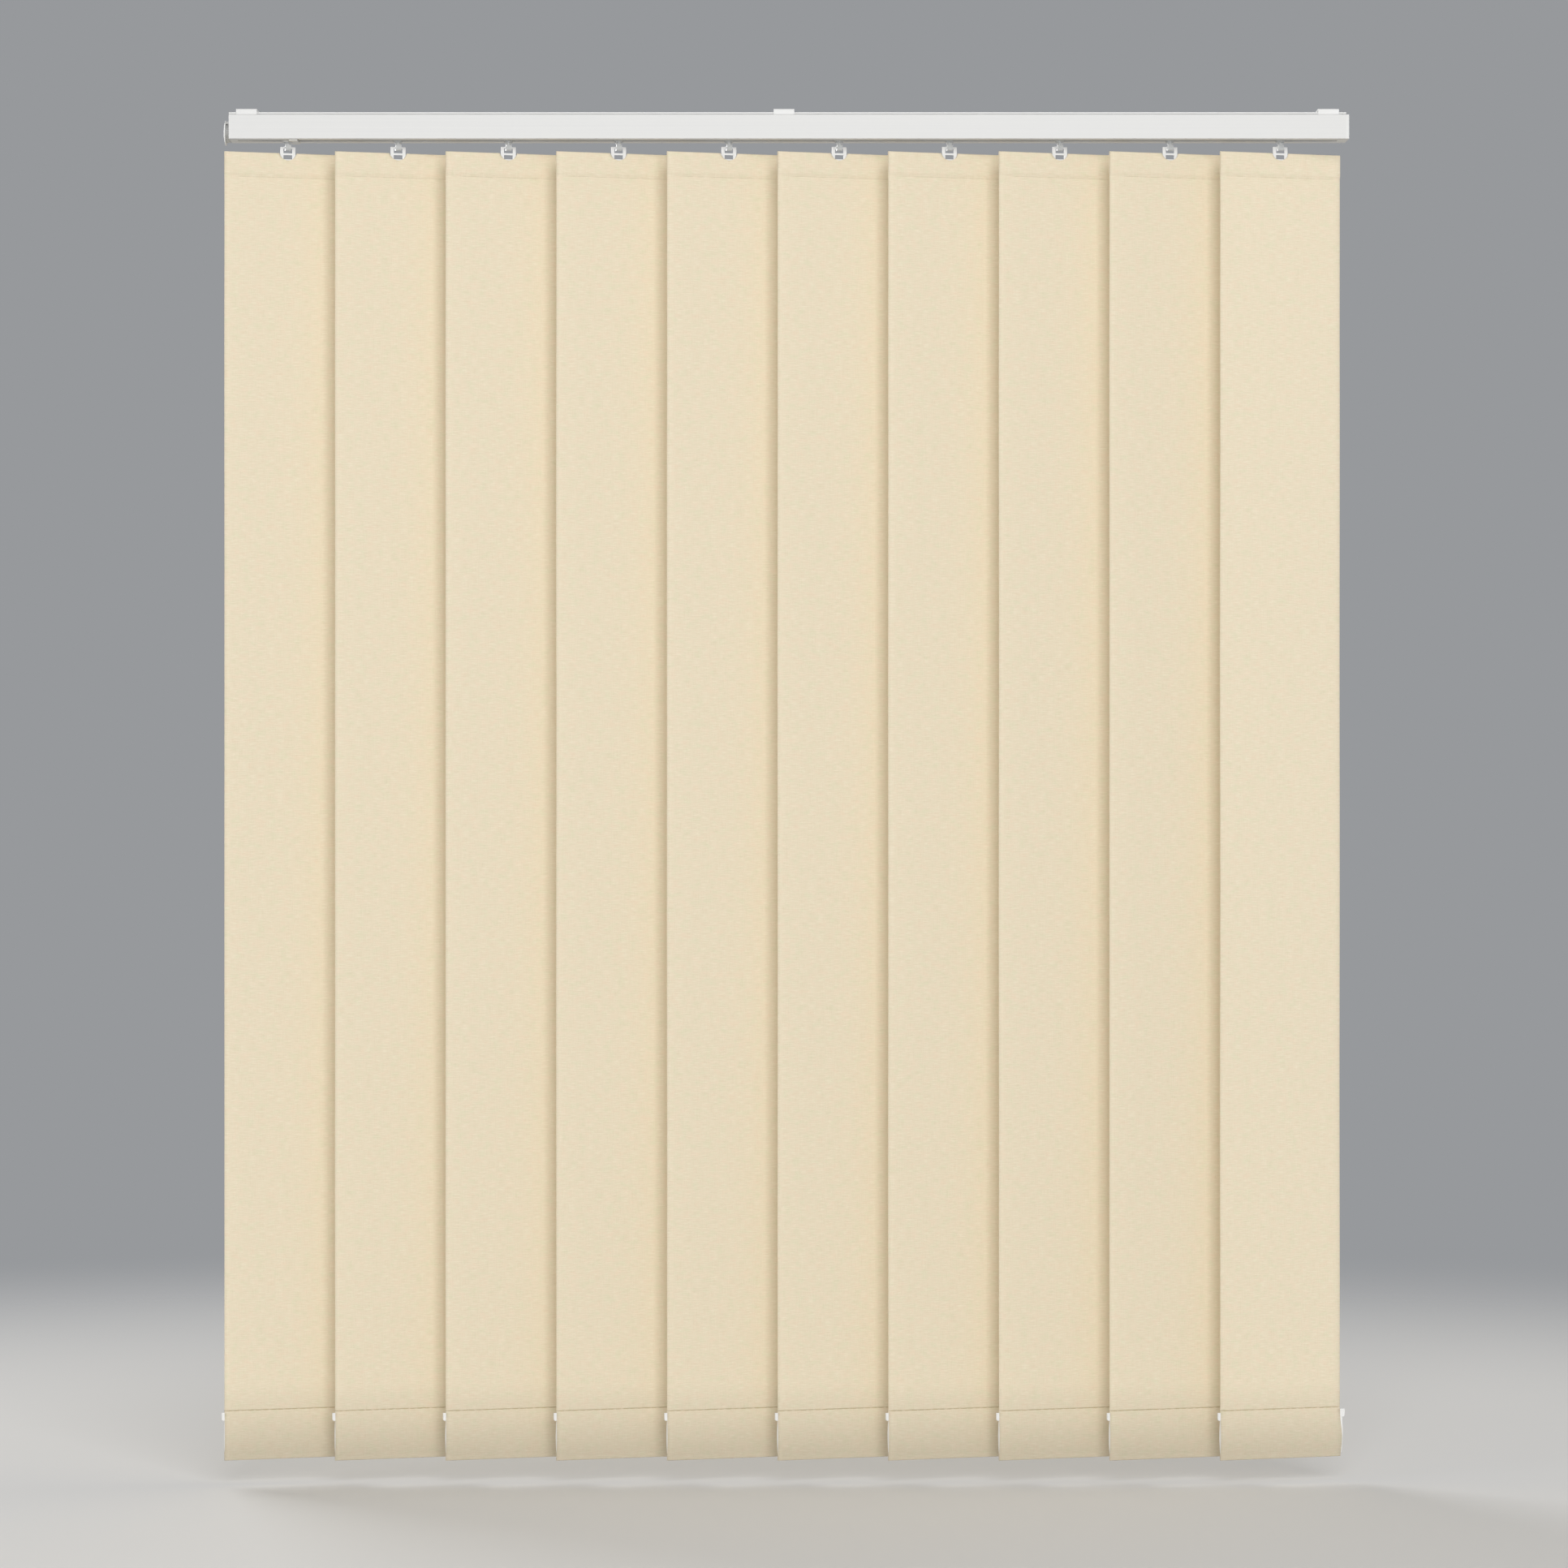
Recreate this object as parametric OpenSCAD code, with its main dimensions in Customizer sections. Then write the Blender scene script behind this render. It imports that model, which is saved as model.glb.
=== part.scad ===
// Vertical blind: fabric slats on turning hooks, on carriers that slide in an extruded headrail.
// +X runs along the rail to the right, +Y into the window and +Z up.
// The origin is on the ceiling plane, in the screw hole of the middle bracket.

/* [Slats] */
// Number of slats
slat_count = 10; // [2:1:10]
// Width of a slat
slat_w = 127; // [89:1:150]
// Length of a slat from its top fold to its bottom fold
slat_drop = 1290; // [400:1:2200]
// Distance between neighbouring hooks when the blind is drawn out
slat_pitch = 109; // [60:1:140]
// Angle of the slats to the rail as they hang
slat_angle = 17; // [12:1:90]
// Thickness of the fabric
fabric_t = 0.45; // [0.3:0.05:0.7]
// Height of the pocket at the top of a slat
top_pocket_h = 24.5; // [22:0.5:40]
// Height of the pocket at the bottom of a slat
hem_h = 48.8; // [36:0.2:70]
// How far each face of the filled bottom pocket bows out
hem_bow = 2.4; // [1.6:0.1:4]
// Radius of the notch punched in the top fold
notch_r = 9; // [8.6:0.1:12]
// Height of the notch's centre above the top fold
notch_rise = 2; // [1:0.1:2.6]
// Distance from the underside of the rail to the top fold
slat_gap = 12.4; // [11:0.1:25]

/* [Hangers] */
// Width of the hanger plate
hanger_w = 119; // [60:1:125]
// Height of the hanger plate
hanger_h = 16; // [12:0.5:18]
// Thickness of the hanger plate
hanger_t = 1.2; // [0.8:0.1:2]
// Depth of the cut in the plate beside the loop
relief_h = 4; // [2:0.1:5]
// Distance of that cut's sides from the notch
relief_gap = 1; // [0.4:0.1:3]
// Thickness of the loop
loop_t = 1.6; // [1.2:0.1:2]
// Width of the loop
loop_w = 14.9; // [13:0.1:15.5]
// Height of the loop above the top fold
loop_rise = 6.1; // [5:0.1:8]
// Radius of the loop's top corners
loop_corner = 1.4; // [0.5:0.1:2]
// Height of the loop's top bar
bar_h = 1.5; // [1:0.1:2]
// Height of the loop's cross bar
cross_h = 1.8; // [1:0.1:2.2]
// Depth of the lower window's edge under the top fold
window_drop = 5.9; // [4.5:0.1:6.5]
// Width of the two windows
window_w = 9.2; // [7.5:0.1:10]
// Height of the upper window
window_h = 4.6; // [4.2:0.1:6]

/* [Weights] */
// Height of the weight
weight_h = 41; // [28:0.5:60]
// Half of how much longer the weight is than the pocket at mid height
weight_out = 1.4; // [1:0.1:3]
// How far the weight sits off the slat's middle, towards its right edge
weight_shift = 1.1; // [0:0.1:2]
// How much the weight's ends bow
weight_end_bow = 0.8; // [0.3:0.1:1]
// Height of a peg
peg_h = 7.6; // [5:0.1:10]
// Distance of a peg under the hem's seam
peg_drop = 1.8; // [1:0.1:4]
// How far a peg would stand out of the pocket with the weight in the middle
peg_out = 3.8; // [3.2:0.1:6]
// Thickness of a peg
peg_t = 2.4; // [1.5:0.1:3]
// Chamfer on a peg's lower outer corner
peg_chamfer = 1; // [0.5:0.1:2]

/* [Headrail] */
// Distance from the ceiling to the top of the rail
rail_drop = 3.3; // [2.8:0.1:8]
// Depth of the rail from front to back
rail_d = 40; // [40:1:60]
// Height of the rail
rail_h = 26; // [25:0.5:40]
// Wall of the extrusion
rail_wall = 1.3; // [1:0.1:1.8]
// Height of the clip bead along the top edges
bead_h = 1.7; // [1.2:0.1:2.2]
// Height of the groove under the bead
groove_h = 0.7; // [0.6:0.1:1.2]
// Depth of the groove behind the bead's face
groove_d = 1.4; // [1.2:0.1:2]
// Set-back of the bead behind the rail's face
bead_set = 1; // [0.6:0.1:1.5]
// Width of the channel along the top
channel_w = 16; // [10:1:20]
// Depth of that channel
channel_d = 4.5; // [3.5:0.1:5]
// Height of the lips beside the slot
lip_h = 3.3; // [2:0.1:4]
// Length of rail beyond the first hook
rail_over_left = 56.5; // [45:0.5:90]
// Length of rail beyond the last hook
rail_over_right = 63.3; // [45:0.1:90]

/* [Hooks] */
// Diameter of the hook's shank
shank_d = 5.6; // [5:0.1:7]
// Height of the hook's rear prong above the loop
prong_rise = 0.8; // [0.4:0.1:1.2]
// Height of the mouth over the rear prong
hook_mouth = 1.6; // [1.2:0.1:2]
// Diameter of the collar in the slot
collar_d = 8.4; // [7.4:0.1:10]
// How far the collar shows under the rail
collar_drop = 1.7; // [1:0.1:3]
// Diameter of the lower journal
journal_d = 5.2; // [4:0.1:6]
// Diameter of the upper journal
pivot_d = 4.4; // [3:0.1:5]
// Height of the upper journal
pivot_h = 3.5; // [2:0.1:5]
// Outside diameter of the gear on the hook
gear_d = 7; // [6:0.1:7.2]
// Height of the gear
gear_h = 5.5; // [4:0.1:6]
// Number of teeth on the gear
gear_teeth = 10; // [8:1:12]
// Depth of the teeth
tooth_d = 0.6; // [0.3:0.1:0.8]

/* [Carriers] */
// Length of a carrier along the rail
carrier_l = 15; // [12:0.5:17]
// Inner edge of a carrier's skids from the middle of the rail
skid_in = 8; // [7:0.5:11]
// Wall of the carrier moulding
carrier_wall = 1.3; // [1:0.1:1.8]
// Free height over a carrier
carrier_headroom = 1.6; // [0.5:0.1:3]
// Width of a spacer strip
strip_w = 5; // [3:0.5:6]
// Thickness of a spacer strip
strip_t = 0.25; // [0.2:0.05:0.3]
// Height between one strip and the next
strip_step = 0.5; // [0.4:0.05:0.55]
// Length of strip that stands out of the next carrier
strip_over = 2; // [1:0.5:6]
// Length of the lead carrier's lug from its hook
lug_l = 10.9; // [9:0.1:11]
// Width of the lug across the rail
lug_w = 34; // [14:1:36]
// Thickness of the lug
lug_t = 1.3; // [1:0.1:2]
// Width of the lug's ring around the collar
lug_ring = 2; // [1:0.1:3]

/* [Tilt drive] */
// Diameter of the tilt rod
rod_d = 4.6; // [4:0.1:5]
// Distance of the rod behind the hooks
rod_back = 7.2; // [7.2:0.1:9]
// Height of the rod above the underside of the rail
rod_rise = 8.3; // [8:0.1:9.5]
// Number of flutes along the rod
rod_flutes = 3; // [2:1:4]
// Radius of a flute
flute_r = 0.5; // [0.3:0.1:0.6]
// Outside diameter of the worm sleeve
worm_d = 6.8; // [6.2:0.1:6.8]
// Pitch of the worm's thread
worm_pitch = 2; // [1.5:0.1:3]
// Depth of the worm's thread
worm_thread = 0.5; // [0.3:0.1:0.7]
// Diameter of the chain wheel
wheel_d = 18.8; // [14:0.1:20]
// Width of the chain wheel
wheel_w = 4.5; // [3:0.1:6]
// Number of ribs on the chain wheel
wheel_ribs = 36; // [20:2:40]
// Height of a rib
rib_h = 0.6; // [0.3:0.1:1]
// Width of a rib
rib_w = 0.7; // [0.4:0.1:1]
// Diameter of the domed cover
cover_d = 24.6; // [23:0.1:25]
// Thickness of the cover at its rim
cover_rim = 0.9; // [0.6:0.1:1.5]
// Height of the cover's dome
cover_dome = 1.6; // [0.8:0.1:3]
// How far the cover's rim stands out over the hood
cover_lip = 0.8; // [0.4:0.1:1]
// Wall of the cover's hood
hood_t = 1.2; // [0.8:0.1:1.4]
// Angle that the hood covers
hood_angle = 76; // [60:1:130]
// Set-back of the hood's legs from its faces
leg_set = 0.2; // [0.1:0.05:0.3]

/* [Rail ends] */
// Length of the control plug in the rail
plug_l = 20; // [14:0.5:30]
// Thickness of the control plug's end wall
plug_end_t = 8; // [7:0.5:10]
// Length of the tongues that close the slot at the rail's ends
tongue_l = 7; // [4:0.5:12]
// Thickness of the end cap's plate
cap_t = 2.8; // [2:0.1:5]
// Length of the end cap's plug in the rail
cap_plug_l = 12; // [8:0.5:20]
// Wall of the end plugs
plug_wall = 1.6; // [1.2:0.1:2.5]
// Wall of the bush in the end cap
bush_wall = 1.1; // [0.8:0.1:1.5]
// Length of the bush
bush_l = 9; // [5:0.5:12]
// Thickness of the bush's flange
bush_flange_t = 1.2; // [0.8:0.1:2]
// Wall of the boss that holds the bush
boss_wall = 1.2; // [0.8:0.1:1.2]

/* [Brackets] */
// Width of a bracket along the rail
bracket_w = 20.4; // [16:0.1:30]
// Thickness of the bracket's plate
bracket_t = 1.6; // [1.2:0.1:2]
// Thickness of the bracket's legs
leg_t = 1.3; // [1:0.1:1.6]
// Distance from the end of the rail to the middle of an end bracket
bracket_inset = 17.5; // [12:0.1:25]
// Diameter of the screw hole
screw_d = 4.5; // [3:0.1:5]
// Width of the bracket's two pads
pad_w = 5; // [3:0.5:6]

/* [Clearances] */
// Clearance of a turning or keyed fit, on the radius
turn_gap = 0.05; // [0.03:0.01:0.1]
// Clearance of sliding and loosely held pieces
slide_gap = 0.2; // [0.1:0.05:0.3]
// Clearance inside the fabric pockets
pocket_gap = 0.15; // [0.1:0.05:0.25]
// Clearance around the gear, the worm and the wheel
gear_gap = 0.5; // [0.4:0.05:0.6]
// Clearance between the collar and the slot
slot_gap = 1; // [0.6:0.1:1.5]

/* [Hidden] */
function two(i) = i < 10 ? str("0", i) : str(i);
louvre_parts = ["carrier", "hook", "hanger", "slat", "weight"];
rail_parts = ["headrail", "tilt_rod", "rod_bush", "control_plug", "chain_wheel", "wheel_cover",
              "end_cap", "bracket_left", "bracket_centre", "bracket_right"];
$fn = 64;
eps = 0.01;
over = 1;
arc_fn = 256;

// Places along the rail
function stem_x(i) = (i - (slat_count + 1) / 2) * slat_pitch;
rail_left = stem_x(1) - rail_over_left;
rail_right = stem_x(slat_count) + rail_over_right;
rail_l = rail_right - rail_left;

// Heights of the rail, counted from the ceiling plane
rail_top = -rail_drop;
rail_bot = rail_top - rail_h;
face_h = rail_h - bead_h - groove_h;
inner_ceiling = rail_h - channel_d - rail_wall;
inner_half = rail_d / 2 - rail_wall;
slot_half = collar_d / 2 + slot_gap;
lip_half = slot_half + rail_wall;
bead_half = rail_d / 2 - bead_set;
groove_half = bead_half - groove_d;
channel_half = channel_w / 2;
chamber_in = channel_half + rail_wall;
chamber_out = groove_half - rail_wall;

// Heights of the slats
slat_top = rail_bot - slat_gap;
slat_bot = slat_top - slat_drop;
top_seam = slat_top - top_pocket_h;
hem_seam = slat_bot + hem_h;
hem_mid = slat_bot + hem_h / 2;
pocket_in = hanger_t + 2 * pocket_gap;
pocket_out = pocket_in + 2 * fabric_t;
taper_h = pocket_out * 2;
fold_z = slat_top - pocket_out / 2;
notch_z = slat_top + notch_rise;

// The filled hem is a lens between two arcs
hem_r = (pow(hem_h / 2, 2) + pow(hem_bow, 2)) / (2 * hem_bow);
weight_lens_r = hem_r - fabric_t - pocket_gap;
weight_bow = hem_bow - fabric_t - pocket_gap;
weight_end_r = (pow(weight_h / 2, 2) + pow(weight_end_bow, 2)) / (2 * weight_end_bow);
weight_half = slat_w / 2 + weight_out;
peg_top = hem_seam - peg_drop;
peg_bot = peg_top - peg_h;

// Hanger and hook
loop_top = slat_top + loop_rise;
bar_bot = loop_top - bar_h;
cross_top = bar_bot - window_h;
loop_r = notch_r - 2 * pocket_gap;
hook_in_r = loop_t / 2 + pocket_gap;
hook_out_r = shank_d / 2;
hook_z = bar_bot + sqrt(pow(hook_in_r, 2) - pow(loop_t / 2, 2)) - pocket_gap / 2;
prong_top = loop_top + prong_rise;
shank_bot = prong_top + hook_mouth;

// Carrier, gear and worm
rod_z = rail_bot + rod_rise;
carrier_bot = rail_bot + lip_h + slide_gap;
carrier_top = rail_bot + inner_ceiling - carrier_headroom;
gear_bot = rod_z - gear_h / 2;
gear_top = rod_z + gear_h / 2;
gear_room_r = gear_d / 2 + gear_gap;
worm_room_r = worm_d / 2 + gear_gap;
tunnel_r = worm_room_r + carrier_wall;
rod_bore_r = rod_d / 2 + turn_gap;
worm_l = carrier_l - 2 * carrier_wall - slide_gap;
strip_room_h = slat_count * strip_step + strip_t;
strip_room_w = strip_w + 2 * slide_gap;
strip_box_w = strip_room_w + 2 * carrier_wall;
strip_y = -(gear_room_r + carrier_wall + strip_room_w / 2);
strip_floor = carrier_top - carrier_wall - strip_room_h;
base_t = gear_bot - carrier_bot;

// Control end
cover_r = cover_d / 2;
hood_r = cover_r - cover_lip;
cover_in = wheel_w + 2 * slide_gap;
cover_ball_r = (pow(cover_r, 2) + pow(cover_dome, 2)) / (2 * cover_dome);
leg_angle = 10;
leg_spare = 2;
hood_from = 90 - hood_angle / 2;
hood_leg_l = 5;

// Puts a section drawn in Y and Z along the rail, starting at x
module along_rail(x, length) {
    translate([x, 0, 0])
        rotate([90, 0, 90])
            linear_extrude(height = length)
                children();
}

// Turns a shape drawn on the Z axis onto the tilt rod's axis, starting at x
module on_rod(x) {
    translate([x, rod_back, rod_z])
        rotate([90, 0, 90])
            children();
}

// Puts a shape on the axis of hook i, turned with its slat
module at_hook(i) {
    translate([stem_x(i), 0, 0])
        rotate([0, 0, slat_angle])
            children();
}

// A rectangle between two corners
module span(x1, y1, x2, y2) {
    translate([x1, y1])
        square([x2 - x1, y2 - y1]);
}

// The same rectangle on both sides of the rail's middle
module span_pair(x1, y1, x2, y2) {
    span(x1, y1, x2, y2);
    span(-x2, y1, -x1, y2);
}

// A lens between two arcs of radius r that each bow out by sag
module lens(r, sag) {
    intersection() {
        translate([r - sag, 0])
            circle(r, $fn = arc_fn);
        translate([sag - r, 0])
            circle(r, $fn = arc_fn);
    }
}

// Section of the headrail
module rail_section() {
    translate([0, rail_bot])
        difference() {
            union() {
                span(-rail_d / 2, 0, rail_d / 2, face_h);
                span(-groove_half, face_h - eps, groove_half, rail_h - bead_h + eps);
                span(-bead_half, rail_h - bead_h, bead_half, rail_h);
            }
            span(-channel_half, rail_h - channel_d, channel_half, rail_h + over);
            difference() {
                union() {
                    span(-inner_half, rail_wall, inner_half, inner_ceiling);
                    span_pair(chamber_in, inner_ceiling - eps, chamber_out, rail_h - rail_wall);
                }
                span_pair(slot_half, 0, lip_half, lip_h);
            }
            span(-slot_half, -over, slot_half, rail_wall + eps);
        }
}

module headrail() {
    color("white")
        along_rail(rail_left, rail_l)
            rail_section();
}

// Section of the tilt rod, grown by a clearance
module rod_section(gap) {
    difference() {
        circle(rod_d / 2 + gap);
        for (k = [0:rod_flutes - 1])
            rotate(k * 360 / rod_flutes)
                translate([rod_d / 2 + gap, 0])
                    circle(flute_r);
    }
}

module tilt_rod() {
    rod_start = -wheel_w;
    rod_end = rail_l - cap_plug_l + bush_l - slide_gap;
    color("silver")
        on_rod(rail_left + rod_start)
            linear_extrude(height = rod_end - rod_start)
                rod_section(0);
}

module rod_bush() {
    color("ivory")
        on_rod(rail_right - cap_plug_l)
            difference() {
                union() {
                    cylinder(r = rod_bore_r + bush_wall, h = bush_l);
                    translate([0, 0, -bush_flange_t])
                        cylinder(r = rod_bore_r + 2 * bush_wall, h = bush_flange_t);
                }
                translate([0, 0, -bush_flange_t - over])
                    cylinder(r = rod_bore_r, h = bush_l + bush_flange_t + 2 * over);
            }
}

// Section of a plug that fits inside the rail, clear of the slot's lips
module plug_section() {
    plug_half = inner_half - slide_gap;
    translate([0, rail_bot])
        difference() {
            span(-plug_half, rail_wall + slide_gap, plug_half, inner_ceiling - slide_gap);
            span(-lip_half - slide_gap, 0, lip_half + slide_gap, lip_h + slide_gap);
        }
}

// Tongue that closes the slot, flush with the underside of the rail
module tongue_section() {
    translate([0, rail_bot])
        span(-slot_half + slide_gap, 0, slot_half - slide_gap, lip_h + 2 * slide_gap);
}

// The room inside a hollow plug
module plug_room_section() {
    room_bot = lip_h + slide_gap + plug_wall;
    room_half = inner_half - slide_gap - plug_wall;
    translate([0, rail_bot])
        span(-room_half, room_bot, room_half, inner_ceiling - slide_gap - plug_wall);
}

// An arc of the hood, from its first angle on, thinned on both faces by an inset
module hood_arc(from, angle, length, inset) {
    rotate([0, 0, from])
        rotate_extrude(angle = angle)
            translate([hood_r - hood_t + inset, 0])
                square([hood_t - 2 * inset, length]);
}

// The hood's two legs, set in from its ends, with a clearance all round
module hood_legs(length, gap) {
    spare = gap > 0 ? leg_spare : 0;
    for (from = [hood_from + leg_spare, hood_from + hood_angle - leg_angle - leg_spare])
        hood_arc(from - spare, leg_angle + 2 * spare, length, leg_set - gap);
}

module control_plug() {
    color("white")
        difference() {
            union() {
                along_rail(rail_left, plug_l)
                    plug_section();
                along_rail(rail_left, tongue_l)
                    tongue_section();
            }
            along_rail(rail_left + plug_end_t, plug_l)
                plug_room_section();
            on_rod(rail_left - over) {
                cylinder(r = rod_bore_r, h = plug_l);
                hood_legs(hood_leg_l + over + slide_gap, slide_gap);
            }
        }
}

module chain_wheel() {
    color("gainsboro")
        on_rod(rail_left - slide_gap - wheel_w)
            linear_extrude(height = wheel_w)
                difference() {
                    union() {
                        circle(wheel_d / 2 - rib_h);
                        for (k = [0:wheel_ribs - 1])
                            rotate(k * 360 / wheel_ribs)
                                span(0, -rib_w / 2, wheel_d / 2, rib_w / 2);
                    }
                    rod_section(turn_gap);
                }
}

module wheel_cover() {
    color("white")
        on_rod(rail_left - cover_in) {
            rotate_extrude()
                intersection() {
                    translate([0, cover_ball_r - cover_dome - cover_rim])
                        circle(cover_ball_r, $fn = arc_fn);
                    span(0, -cover_dome - cover_rim, cover_r, 0);
                }
            translate([0, 0, -eps])
                hood_arc(hood_from, hood_angle, cover_in - slide_gap / 2 + eps, 0);
            hood_legs(cover_in + hood_leg_l, 0);
        }
}

module end_cap() {
    boss_r = rod_bore_r + bush_wall + turn_gap;
    color("white")
        difference() {
            union() {
                along_rail(rail_right, cap_t)
                    translate([0, rail_bot])
                        span(-rail_d / 2, 0, rail_d / 2, face_h);
                difference() {
                    along_rail(rail_right - cap_plug_l, cap_plug_l + eps)
                        plug_section();
                    along_rail(rail_right - cap_plug_l - over, cap_plug_l + over)
                        plug_room_section();
                }
                along_rail(rail_right - tongue_l, tongue_l + eps)
                    tongue_section();
                on_rod(rail_right - cap_plug_l)
                    cylinder(r = boss_r + boss_wall, h = cap_plug_l + eps);
            }
            on_rod(rail_right - cap_plug_l - over)
                cylinder(r = boss_r, h = bush_l + over + slide_gap);
        }
}

// Section of a clip bracket: a plate with two legs that hook under the rail's beads
module bracket_section() {
    leg_in = bead_half + slide_gap;
    leg_out = leg_in + leg_t;
    tip_in = groove_half + slide_gap * 2;
    tip_top = rail_top - bead_h - slide_gap / 2;
    tip_bot = rail_top - bead_h - groove_h + slide_gap / 2;
    span(-leg_out + bracket_t, -bracket_t, leg_out - bracket_t, 0);
    for (side = [-1, 1])
        intersection() {
            translate([side * (leg_out - bracket_t), -bracket_t])
                circle(bracket_t);
            span(-leg_out, -bracket_t, leg_out, 0);
        }
    span_pair(leg_in, tip_bot, leg_out, -bracket_t + eps);
    span_pair(tip_in, tip_bot, leg_out, tip_top);
    span_pair(chamber_in + slide_gap, rail_top + slide_gap / 2, chamber_in + pad_w, -bracket_t + eps);
}

module bracket(x) {
    color("white")
        difference() {
            along_rail(x - bracket_w / 2, bracket_w)
                bracket_section();
            translate([x, 0, -bracket_t - over])
                cylinder(d = screw_d, h = bracket_t + 2 * over);
        }
}

// Section of a carrier: skids, base, gear housing, worm tunnel and strip box
module carrier_section() {
    skid_out = inner_half - slide_gap;
    skid_bot = rail_bot + rail_wall + slide_gap;
    box_out = strip_y - strip_box_w / 2;
    box_in = strip_y + strip_box_w / 2;
    room_out = box_out + carrier_wall;
    room_in = box_in - carrier_wall;
    span(-skid_out, carrier_bot, skid_out, carrier_bot + base_t);
    span_pair(skid_in, skid_bot, skid_out, carrier_bot + eps);
    span(box_in - eps, carrier_bot, rod_back, gear_top + pivot_h + carrier_wall);
    intersection() {
        translate([rod_back, rod_z])
            circle(tunnel_r);
        span(0, carrier_bot, skid_out, carrier_top);
    }
    difference() {
        span(box_out, carrier_bot, box_in, carrier_top);
        span(room_out, carrier_bot + base_t, room_in, strip_floor - carrier_wall);
        span(room_out, strip_floor, room_in, carrier_top - carrier_wall);
    }
}

// The rooms that the hook's journals and gear turn in
module hook_room() {
    translate([0, 0, rail_bot])
        cylinder(r = journal_d / 2 + turn_gap, h = gear_bot - rail_bot);
    translate([0, 0, gear_bot - slide_gap])
        cylinder(r = gear_room_r, h = gear_h + 2 * slide_gap);
    translate([0, 0, gear_top])
        cylinder(r = pivot_d / 2 + turn_gap, h = pivot_h + slide_gap);
}

// Worm sleeve on the tilt rod, with its thread as rounds
module worm(x) {
    rounds = floor(worm_l / worm_pitch);
    root_r = worm_d / 2 - worm_thread;
    on_rod(x - worm_l / 2)
        rotate_extrude()
            union() {
                span(rod_bore_r, 0, root_r, worm_l);
                for (k = [0:rounds - 1])
                    translate([root_r - eps, (worm_l - rounds * worm_pitch) / 2 + k * worm_pitch])
                        polygon([[0, 0], [worm_thread + eps, worm_pitch / 4],
                                 [worm_thread + eps, worm_pitch / 2], [0, worm_pitch * 3 / 4]]);
            }
}

// Spacer strip of carrier i, on a level of its own, with a cross bar held by the strip box
module spacer_strip(i) {
    strip_l = slat_pitch + carrier_l / 2 + strip_over;
    bar_l = carrier_l / 3;
    level = strip_floor + (i - 1) * strip_step;
    translate([stem_x(i) - strip_l, strip_y - strip_w / 2, level])
        cube([strip_l, strip_w, strip_t]);
    translate([stem_x(i) - bar_l / 2, strip_y - strip_room_w / 2 - carrier_wall / 2, level])
        cube([bar_l, strip_room_w + carrier_wall, strip_t]);
}

// Lug of the lead carrier: a plate under the rail, on a neck through the slot
module lead_lug(x) {
    lug_from = collar_d / 2 + 2 * slide_gap;
    plate_r = collar_d / 2 + lug_ring;
    neck_half = slot_half - slot_gap;
    lug_top = rail_bot - slide_gap;
    difference() {
        union() {
            translate([x, 0, lug_top - lug_t])
                cylinder(r = plate_r, h = lug_t);
            translate([x + lug_from - lug_ring, -lug_w / 2, lug_top - lug_t])
                cube([lug_l - lug_from + lug_ring, lug_w, lug_t]);
            translate([x + lug_from, -neck_half, lug_top - lug_t])
                cube([carrier_l / 2 - lug_from, neck_half * 2, carrier_bot - lug_top + lug_t + eps]);
        }
        translate([x, 0, lug_top - lug_t - over])
            cylinder(r = collar_d / 2 + slide_gap, h = carrier_bot - lug_top + lug_t + over - slide_gap);
    }
}

module carrier(i) {
    x = stem_x(i);
    color("whitesmoke") {
        difference() {
            union() {
                along_rail(x - carrier_l / 2, carrier_l)
                    carrier_section();
                if (i == 1)
                    lead_lug(x);
                if (i > 1)
                    spacer_strip(i);
            }
            translate([x, 0, 0])
                hook_room();
            on_rod(x - carrier_l / 2 - over)
                cylinder(r = rod_bore_r, h = carrier_l + 2 * over);
            on_rod(x - carrier_l / 2 + carrier_wall)
                cylinder(r = worm_room_r, h = carrier_l - 2 * carrier_wall);
        }
        worm(x);
    }
}

// Side view of the J hook, with the shank's flat front leg
module hook_profile() {
    intersection() {
        translate([0, hook_z])
            difference() {
                circle(hook_out_r);
                circle(hook_in_r);
            }
        span(-hook_out_r, hook_z - hook_out_r, hook_out_r, hook_z);
    }
    span(-hook_out_r, hook_z - eps, -hook_in_r, shank_bot + eps);
    span(hook_in_r, hook_z - eps, hook_out_r, prong_top);
}

module hook(i) {
    color("gainsboro")
        at_hook(i) {
            rotate([90, 0, 90])
                linear_extrude(height = shank_d, center = true)
                    hook_profile();
            translate([0, 0, shank_bot])
                cylinder(r = hook_out_r, h = rail_bot - collar_drop - shank_bot + eps);
            translate([0, 0, rail_bot - collar_drop])
                cylinder(d = collar_d, h = carrier_bot - slide_gap - rail_bot + collar_drop);
            translate([0, 0, carrier_bot - slide_gap - eps])
                cylinder(d = journal_d, h = gear_bot - carrier_bot + slide_gap + 2 * eps);
            translate([0, 0, gear_bot])
                linear_extrude(height = gear_h)
                    union() {
                        circle(d = gear_d - 2 * tooth_d);
                        for (k = [0:gear_teeth - 1])
                            rotate(k * 360 / gear_teeth)
                                span(0, -tooth_d, gear_d / 2, tooth_d);
                    }
            translate([0, 0, gear_top - eps])
                cylinder(d = pivot_d, h = pivot_h + eps);
        }
}

// Outline of the loop that shows in the slat's notch
module loop_outline() {
    intersection() {
        union() {
            span(-loop_w / 2, notch_z, loop_w / 2, loop_top - loop_corner);
            span(loop_corner - loop_w / 2, notch_z, loop_w / 2 - loop_corner, loop_top);
            for (side = [-1, 1])
                translate([side * (loop_w / 2 - loop_corner), loop_top - loop_corner])
                    circle(loop_corner);
            translate([0, notch_z])
                circle(loop_r);
        }
        span(-loop_w / 2, slat_top - window_drop, loop_w / 2, loop_top);
    }
}

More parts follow.
